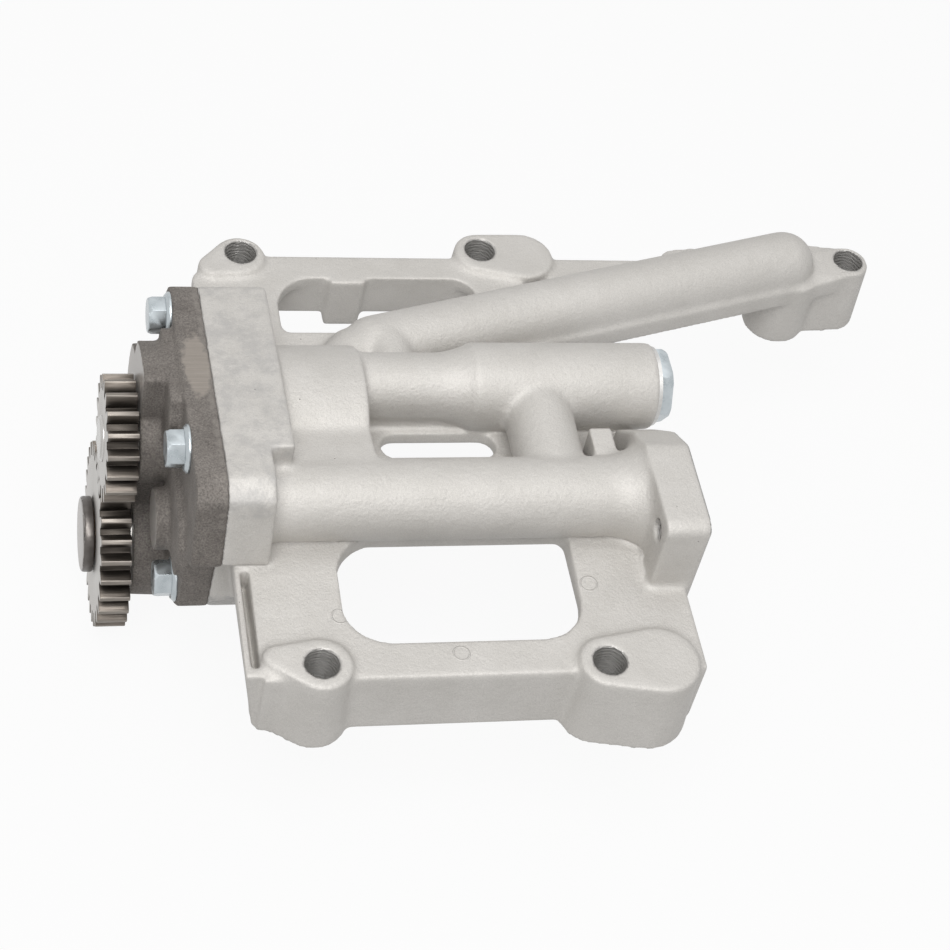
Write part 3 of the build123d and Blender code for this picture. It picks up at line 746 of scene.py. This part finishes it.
# A rubbed patch on the rim, with fine scratches along X, and a bright line near the joint.
patch_middle = add(
    tree,
    "Mapping",
    {
        "Vector": place,
        "Location": (-patch_x / patch_half_x, -patch_y / patch_half_y, 0.0),
        "Scale": (1 / patch_half_x, 1 / patch_half_y, 0.0),
    },
)
patch_noise = add(tree, "TexNoise", {"Vector": place, "Scale": patch_edge_cells, "Detail": 3.0})
patch_reach = add(tree, "VectorMath", {0: patch_middle.outputs[0]}, operation="LENGTH")
patch_wobble = add(
    tree,
    "Math",
    {0: patch_noise.outputs["Fac"], 1: 0.9, 2: patch_reach.outputs["Value"]},
    operation="MULTIPLY_ADD",
)
patch_share = add(
    tree, "MapRange", {"Value": patch_wobble.outputs[0], 1: 1.42, 2: 1.2, 3: 0.0, 4: 0.9}
)
parts = add(tree, "SeparateXYZ", {"Vector": place})
upper = add(tree, "MapRange", {"Value": parts.outputs["Z"], 1: 0.052, 2: 0.056, 3: 0.0, 4: 1.0})
rubbed = add(
    tree,
    "Math",
    {0: patch_share.outputs[0], 1: upper.outputs[0]},
    operation="MULTIPLY",
)
stretched = add(tree, "Mapping", {"Vector": place, "Scale": scratch_cells})
scratches = add(tree, "TexNoise", {"Vector": stretched.outputs[0], "Scale": 1.0, "Detail": 2.0})
brushed = add(
    tree,
    "MixRGB",
    {0: scratches.outputs["Fac"], 1: linear("7e7770"), 2: linear("a39b92")},
)
joint_near = add(
    tree, "MapRange", {"Value": parts.outputs["X"], 1: -0.0385, 2: -0.0335, 3: 0.0, 4: 1.0}
)
joint_wear = add(
    tree,
    "Math",
    {0: joint_near.outputs[0], 1: patch_noise.outputs["Fac"]},
    operation="MULTIPLY",
)
joint_bright = add(
    tree, "MapRange", {"Value": joint_wear.outputs[0], 1: 0.38, 2: 0.5, 3: 0.0, 4: 0.5}
)
worn_share = add(
    tree,
    "Math",
    {0: joint_bright.outputs[0], 1: upper.outputs[0]},
    operation="MULTIPLY",
)
worn = add(
    tree,
    "MixRGB",
    {0: worn_share.outputs[0], 1: sanded.outputs[0], 2: linear("8d8882")},
)
patched = add(
    tree,
    "MixRGB",
    {0: rubbed.outputs[0], 1: worn.outputs[0], 2: brushed.outputs[0]},
)
cut = add(tree, "Attribute", attribute_name="machined")
coloured = add(
    tree,
    "MixRGB",
    {0: cut.outputs["Fac"], 1: patched.outputs[0], 2: linear("a5a09b")},
)
smooth_share = add(
    tree,
    "Math",
    {0: cut.outputs["Fac"], 1: rubbed.outputs[0]},
    operation="MAXIMUM",
)
sand_depth = add(
    tree, "MapRange", {"Value": smooth_share.outputs[0], 1: 0.0, 2: 1.0, 3: 0.8, 4: 0.08}
)
relief = add(
    tree,
    "Bump",
    {"Height": sand.outputs["Fac"], "Distance": sand_relief, "Strength": sand_depth.outputs[0]},
)
roughness = add(
    tree, "MapRange", {"Value": smooth_share.outputs[0], 1: 0.0, 2: 1.0, 3: 0.68, 4: 0.36}
)
surface = add(
    tree,
    "BsdfPrincipled",
    {
        "Base Color": coloured.outputs[0],
        "Metallic": 0.45,
        "Roughness": roughness.outputs[0],
        "Normal": relief.outputs[0],
    },
)
add(tree, "OutputMaterial", {"Surface": surface.outputs[0]})

dress(cover, cast_iron)
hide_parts("front_cover")
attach(cover, "housing")


# Cover bolts. Cold-forged steel with a flange under the head, zinc plated and passivated
# bluish. The forging leaves every edge slightly round.
bolt_edge = 0.0004
flat_within = 1.0
sharp_from = 35.0
edge_segments = 2


def soft_edges(node, name, width):
    """Merged copy of a CAD node with flat areas joined and every sharp edge rounded."""
    piece = merged_copy(node, name)
    form = bmesh.new()
    form.from_mesh(piece.data)
    bmesh.ops.dissolve_limit(
        form, angle_limit=math.radians(flat_within), verts=form.verts, edges=form.edges
    )
    form.to_mesh(piece.data)
    form.free()
    rounding = piece.modifiers.new("rounded edges", "BEVEL")
    rounding.width = width
    rounding.segments = edge_segments
    rounding.limit_method = "ANGLE"
    rounding.angle_limit = math.radians(sharp_from)
    rounding.harden_normals = True
    piece.data.shade_smooth()
    apply_modifiers(piece)
    return piece


bolts = soft_edges("cover_bolts", "cover_bolts_plated", bolt_edge)

# Zinc plate, blue passivated: bright and slightly cold, with faint cloudy patches 4 mm wide
# and a grain of the plating, drawn at 0.6 mm, as the real one is too fine to show.
zinc_cloud_cells = 240.0
plating_cells = 1800.0
plating_relief = 0.0001

zinc_plate, tree = new_material("blue_passivated_zinc")
place = add(tree, "TexCoord").outputs["Object"]
clouds = add(tree, "TexNoise", {"Vector": place, "Scale": zinc_cloud_cells, "Detail": 4.0})
plate_colour = add(
    tree,
    "MixRGB",
    {0: clouds.outputs["Fac"], 1: linear("9aa2a6"), 2: linear("cbd1d4")},
)
plate_rough = add(
    tree, "MapRange", {"Value": clouds.outputs["Fac"], 1: 0.3, 2: 0.7, 3: 0.22, 4: 0.4}
)
plate_grain = add(tree, "TexNoise", {"Vector": place, "Scale": plating_cells, "Detail": 2.0})
relief = add(
    tree,
    "Bump",
    {"Height": plate_grain.outputs["Fac"], "Distance": plating_relief, "Strength": 0.25},
)
surface = add(
    tree,
    "BsdfPrincipled",
    {
        "Base Color": plate_colour.outputs[0],
        "Metallic": 1.0,
        "Roughness": plate_rough.outputs[0],
        "Normal": relief.outputs[0],
    },
)
add(tree, "OutputMaterial", {"Surface": surface.outputs[0]})

dress(bolts, zinc_plate)
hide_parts("cover_bolts")
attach(bolts, "housing")


# Pump shaft, rotor drive pin and cover dowels. Ground steel bar, bright, with its end
# chamfered. Only the shaft's front end shows, inside the drive gear.
shaft_edge = 0.0002
shaft = soft_edges("pump_shaft", "shaft_ground", shaft_edge)


def grained(name, cells, detail, tones, metallic, roughness, relief=None):
    """Material with one grain, whose noise mixes two tones and may raise the skin.

    cells is the number of grains per metre along X, Y and Z. relief is the height of the
    grain in metres and its strength.
    """
    material, tree = new_material(name)
    place = add(tree, "TexCoord").outputs["Object"]
    laid = add(tree, "Mapping", {"Vector": place, "Scale": cells})
    grain = add(tree, "TexNoise", {"Vector": laid.outputs[0], "Scale": 1.0, "Detail": detail})
    dark, light = map(linear, tones)
    colour = add(tree, "MixRGB", {0: grain.outputs["Fac"], 1: dark, 2: light})
    skin = {"Base Color": colour.outputs[0], "Metallic": metallic, "Roughness": roughness}
    if relief:
        height, strength = relief
        raised = add(
            tree,
            "Bump",
            {"Height": grain.outputs["Fac"], "Distance": height, "Strength": strength},
        )
        skin["Normal"] = raised.outputs[0]
    surface = add(tree, "BsdfPrincipled", skin)
    add(tree, "OutputMaterial", {"Surface": surface.outputs[0]})
    return material


# Ground steel: bright, neutral grey, with grinding lines round the bar about 0.3 mm apart.
ground_steel = grained(
    "ground_steel",
    cells=(3300.0, 90.0, 90.0),
    detail=2.0,
    tones=("a8a6a3", "cfcdca"),
    metallic=1.0,
    roughness=0.27,
    relief=(0.00004, 0.4),
)
dress(shaft, ground_steel)
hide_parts("pump_shaft")
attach(shaft, "driven_shaft")
for name in ("rotor_drive_pin", "cover_dowels", "relief_plunger"):
    dress(nodes[name], ground_steel)


# Rotor set. Two rotors pressed from iron powder and sintered, with faces ground to fit the
# chamber. Hidden behind the cover.

# Sintered iron: dull mid grey, mottled by pores about 0.5 mm apart.
sintered_iron = grained(
    "sintered_iron",
    cells=(2200.0, 2200.0, 2200.0),
    detail=3.0,
    tones=("5c5a57", "8e8b87"),
    metallic=1.0,
    roughness=0.46,
    relief=(0.0001, 0.3),
)
for name in ("inner_rotor", "outer_rotor"):
    dress(nodes[name], sintered_iron)


# Gears. Hobbed from case-hardened steel and left with an oily brown-grey skin on the
# flanks; tooth crests and side faces were turned bright before the teeth were cut.
gear_edge = 0.0003
gear_module = 0.0025
root_depth = 1.25
drive_teeth = 18
idler_teeth = 28
oil_smear_cells = (120.0, 900.0, 900.0)
oil_relief = 0.00006
turned_face_waves = 9000.0


def gear_steel(name, middle, teeth):
    """Hobbed steel: flanks under oil, with painted shade that darkens them towards the root, and brighter crests.

    The distance from the gear's axis tells crest from root, and gives the turned side faces
    their rings, 0.7 mm apart. The oil lies in smears 8 mm long and 1 mm wide.
    """
    material, tree = new_material(name)
    place = add(tree, "TexCoord")
    centred = add(
        tree,
        "Mapping",
        {"Vector": place.outputs["Object"], "Location": (0.0, -middle[0], -middle[1])},
    )
    flat = add(
        tree,
        "VectorMath",
        {0: centred.outputs[0], 1: (0.0, 1.0, 1.0)},
        operation="MULTIPLY",
    )
    reach = add(tree, "VectorMath", {0: flat.outputs[0]}, operation="LENGTH").outputs["Value"]
    crest = gear_module * (teeth / 2 + 1)
    root = gear_module * (teeth / 2 - root_depth)
    crest_share = add(
        tree, "MapRange", {"Value": reach, 1: crest - 0.0005, 2: crest - 0.0002, 3: 0.0, 4: 1.0}
    )
    # Painted shade: the flanks darken towards the root, down to 0.35 of their tone, where the gaps between the
    # teeth lie in shade.
    depth = add(
        tree, "MapRange", {"Value": reach, 1: root, 2: crest - 0.001, 3: 0.35, 4: 1.0}
    )
    smears = add(tree, "Mapping", {"Vector": place.outputs["Object"], "Scale": oil_smear_cells})
    oil = add(tree, "TexNoise", {"Vector": smears.outputs[0], "Scale": 1.0, "Detail": 4.0})
    flank = add(
        tree,
        "MixRGB",
        {0: oil.outputs["Fac"], 1: linear("4e4842"), 2: linear("857e77")},
    )
    # The oily flank tone times the painted shade towards the root.
    flank_root_shaded = add(
        tree,
        "MixRGB",
        {0: 1.0, 1: flank.outputs[0], 2: depth.outputs[0]},
        blend_type="MULTIPLY",
    )
    crest_colour = add(
        tree,
        "MixRGB",
        {0: oil.outputs["Fac"], 1: linear("736d67"), 2: linear("99938c")},
    )
    toothed = add(
        tree,
        "MixRGB",
        {0: crest_share.outputs[0], 1: flank_root_shaded.outputs[0], 2: crest_colour.outputs[0]},
    )
    facing = add(tree, "SeparateXYZ", {"Vector": place.outputs["Normal"]})
    side = add(tree, "Math", {0: facing.outputs["X"]}, operation="ABSOLUTE")
    side_share = add(tree, "MapRange", {"Value": side.outputs[0], 1: 0.75, 2: 0.92, 3: 0.0, 4: 1.0})
    turned_lines = add(tree, "Math", {0: reach, 1: turned_face_waves}, operation="MULTIPLY")
    wave = add(tree, "Math", {0: turned_lines.outputs[0]}, operation="SINE")
    face_tone = add(tree, "MapRange", {"Value": wave.outputs[0], 1: -1.0, 2: 1.0, 3: 0.0, 4: 1.0})
    face_colour = add(
        tree,
        "MixRGB",
        {0: face_tone.outputs[0], 1: linear("b4b1ad"), 2: linear("c6c4c1")},
    )
    coloured = add(
        tree,
        "MixRGB",
        {0: side_share.outputs[0], 1: toothed.outputs[0], 2: face_colour.outputs[0]},
    )
    relief = add(
        tree,
        "Bump",
        {"Height": oil.outputs["Fac"], "Distance": oil_relief, "Strength": 0.4},
    )
    surface = add(
        tree,
        "BsdfPrincipled",
        {
            "Base Color": coloured.outputs[0],
            "Metallic": 1.0,
            "Roughness": 0.48,
            "Normal": relief.outputs[0],
        },
    )
    add(tree, "OutputMaterial", {"Surface": surface.outputs[0]})
    return material


def joint_axis(name):
    """The (y, z) of a joint's axis, from the record."""
    found = [joint for joint in frame["joints"] if joint["name"] == name]
    return found[0]["pos_m"][1:]


drive = soft_edges("drive_gear", "drive_gear_cut", gear_edge)
dress(drive, gear_steel("hobbed_steel_drive", joint_axis("pump_shaft_spin"), drive_teeth))
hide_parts("drive_gear")
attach(drive, "driven_shaft")

idler = soft_edges("idler_gear", "idler_gear_cut", gear_edge)
dress(idler, gear_steel("hobbed_steel_idler", joint_axis("idler_spin"), idler_teeth))
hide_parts("idler_gear")
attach(idler, "idler")


# Idler pin. A turned steel pin with a flat round head, pressed into the cover; a thrust
# washer sits behind the gear.
pin_edge = 0.0006
pin = soft_edges("idler_pin", "idler_pin_turned", pin_edge)

# Turned steel, blackened by heat treatment: dark grey rim with mottles of 3 mm, and a paler
# face with turning rings 0.4 mm apart round the pin's axis.
heat_cells = 300.0
turned_ring_waves = 15700.0
turned_ring_relief = 0.00002

turned_steel, tree = new_material("turned_hardened_steel")
place = add(tree, "TexCoord")
pin_y, pin_z = joint_axis("idler_spin")
centred = add(
    tree,
    "Mapping",
    {"Vector": place.outputs["Object"], "Location": (0.0, -pin_y, -pin_z)},
)
flat = add(
    tree,
    "VectorMath",
    {0: centred.outputs[0], 1: (0.0, 1.0, 1.0)},
    operation="MULTIPLY",
)
reach = add(tree, "VectorMath", {0: flat.outputs[0]}, operation="LENGTH")
rings = add(
    tree, "Math", {0: reach.outputs["Value"], 1: turned_ring_waves}, operation="MULTIPLY"
)
wave = add(tree, "Math", {0: rings.outputs[0]}, operation="SINE")
facing = add(tree, "SeparateXYZ", {"Vector": place.outputs["Normal"]})
side = add(tree, "Math", {0: facing.outputs["X"]}, operation="ABSOLUTE")
side_share = add(tree, "MapRange", {"Value": side.outputs[0], 1: 0.7, 2: 0.95, 3: 0.0, 4: 1.0})
heat = add(
    tree,
    "TexNoise",
    {"Vector": place.outputs["Object"], "Scale": heat_cells, "Detail": 3.0},
)
rim_colour = add(
    tree,
    "MixRGB",
    {0: heat.outputs["Fac"], 1: linear("4f4b48"), 2: linear("7a7673")},
)
head_colour = add(
    tree,
    "MixRGB",
    {0: side_share.outputs[0], 1: rim_colour.outputs[0], 2: linear("aeaba8")},
)
relief = add(
    tree,
    "Bump",
    {"Height": wave.outputs[0], "Distance": turned_ring_relief, "Strength": 0.4},
)
surface = add(
    tree,
    "BsdfPrincipled",
    {
        "Base Color": head_colour.outputs[0],
        "Metallic": 1.0,
        "Roughness": 0.36,
        "Normal": relief.outputs[0],
    },
)
add(tree, "OutputMaterial", {"Surface": surface.outputs[0]})

dress(pin, turned_steel)
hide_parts("idler_pin")
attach(pin, "housing")
dress(nodes["idler_thrust_washer"], ground_steel)


# Bearing bushes of shaft and idler gear. Cast bronze rings, pressed into cover, body and gear
# and bored to size there. All three are hidden.

# Cast bearing bronze: warm yellow-brown, with faint boring lines 0.4 mm apart along the bore.
bronze = grained(
    "bearing_bronze",
    cells=(2500.0, 60.0, 60.0),
    detail=3.0,
    tones=("9c7740", "c49a58"),
    metallic=1.0,
    roughness=0.32,
    relief=(0.00004, 0.4),
)
for name in ("shaft_bush_front", "shaft_bush_rear", "idler_bush"):
    dress(nodes[name], bronze)


# Relief valve plug. A zinc-plated hexagon plug screwed into the end of the valve tube on a
# soft aluminium washer, holding the spring behind the plunger.
plug_edge = 0.0005
plug = soft_edges("relief_plug", "relief_plug_plated", plug_edge)
dress(plug, zinc_plate)
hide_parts("relief_plug")
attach(plug, "housing")

# Soft aluminium: pale and matt, with light scuffs about 1.4 mm across.
soft_aluminium = grained(
    "soft_aluminium_washer",
    cells=(700.0, 700.0, 700.0),
    detail=4.0,
    tones=("b4b3b1", "d8d7d5"),
    metallic=1.0,
    roughness=0.4,
)
dress(nodes["relief_plug_washer"], soft_aluminium)

# Spring wire, drawn and oil-tempered: dark, with draw marks about 0.7 mm across.
spring_wire = grained(
    "oil_tempered_spring_wire",
    cells=(1500.0, 1500.0, 1500.0),
    detail=3.0,
    tones=("3f3d3b", "6b6865"),
    metallic=1.0,
    roughness=0.35,
)
dress(nodes["relief_spring"], spring_wire)


# Outlet seal. A moulded rubber ring that lies in the groove under the delivery outlet and is
# pressed flat when the pump is bolted on.

# Nitrile rubber, moulded: near black and matt, with a faint bloom in spots of 1.7 mm.
black_rubber = grained(
    "moulded_nitrile_rubber",
    cells=(600.0, 600.0, 600.0),
    detail=3.0,
    tones=("1b1b1b", "2c2c2c"),
    metallic=0.0,
    roughness=0.55,
    relief=(0.00005, 0.3),
)
dress(nodes["outlet_seal"], black_rubber)


# Floor and light. A plain white floor under the pump, a large soft box above it on the
# camera's side, a weaker one behind, and an even white room.
floor_gap = 0.0005
floor_half = 3.0
floor_glow_share = 0.93
floor_z = cad_low.z - floor_gap
floor_corners = [
    (-floor_half, -floor_half, floor_z),
    (floor_half, -floor_half, floor_z),
    (floor_half, floor_half, floor_z),
    (-floor_half, floor_half, floor_z),
]
floor_mesh = bpy.data.meshes.new("floor")
floor_mesh.from_pydata(floor_corners, [], [(0, 1, 2, 3)])
floor = new_object("floor", floor_mesh)


def seen_directly(tree):
    """1 for rays from the camera, off gloss or through glass, 0 for those that only light."""
    path = add(tree, "LightPath")
    seen = add(
        tree,
        "Math",
        {0: path.outputs["Is Camera Ray"], 1: path.outputs["Is Glossy Ray"]},
        operation="MAXIMUM",
    )
    seen = add(
        tree,
        "Math",
        {0: seen.outputs[0], 1: path.outputs["Is Transmission Ray"]},
        operation="MAXIMUM",
    )
    return seen.outputs[0]


# Matt white paint that lights the pump like a diffuse floor. The eye sees it nearly white,
# with a trace of the pump's shadow.
white = (1.0, 1.0, 1.0, 1.0)
white_floor, tree = new_material("matt_white_floor")
matt = add(tree, "BsdfDiffuse", {"Color": linear("cccccc")})
glow = add(tree, "Emission", {"Color": white, "Strength": 1.0})
glow_share = add(
    tree, "Math", {0: seen_directly(tree), 1: floor_glow_share}, operation="MULTIPLY"
)
mixed = add(tree, "MixShader", {0: glow_share.outputs[0], 1: matt.outputs[0], 2: glow.outputs[0]})
add(tree, "OutputMaterial", {"Surface": mixed.outputs[0]})
dress(floor, white_floor)


box_target = (0.1, 0.1, 0.0)
room_light = 0.34


def soft_box(name, place, size, power):
    """Square area lamp at a place, turned to face the pump."""
    lamp = bpy.data.lights.new(name, "AREA")
    lamp.shape = "SQUARE"
    lamp.size = size
    lamp.energy = power
    box = new_object(name, lamp)
    box.location = place
    ahead = Vector(box_target) - Vector(place)
    box.rotation_euler = ahead.to_track_quat("-Z", "Y").to_euler()


soft_box("front_box", place=(-0.2, -0.55, 1.25), size=0.9, power=17.0)
soft_box("back_box", place=(0.35, 0.45, 1.3), size=1.1, power=2.5)

room = bpy.data.worlds.new("white_room")
bpy.context.scene.world = room
room.use_nodes = True
tree = room.node_tree
tree.nodes.clear()
lit = add(tree, "Background", {"Color": white, "Strength": room_light})
shown = add(tree, "Background", {"Color": white, "Strength": 1.0})
mixed = add(
    tree,
    "MixShader",
    {0: seen_directly(tree), 1: lit.outputs[0], 2: shown.outputs[0]},
)
add(tree, "OutputWorld", {"Surface": mixed.outputs[0]})

bpy.context.scene.view_settings.view_transform = "Standard"
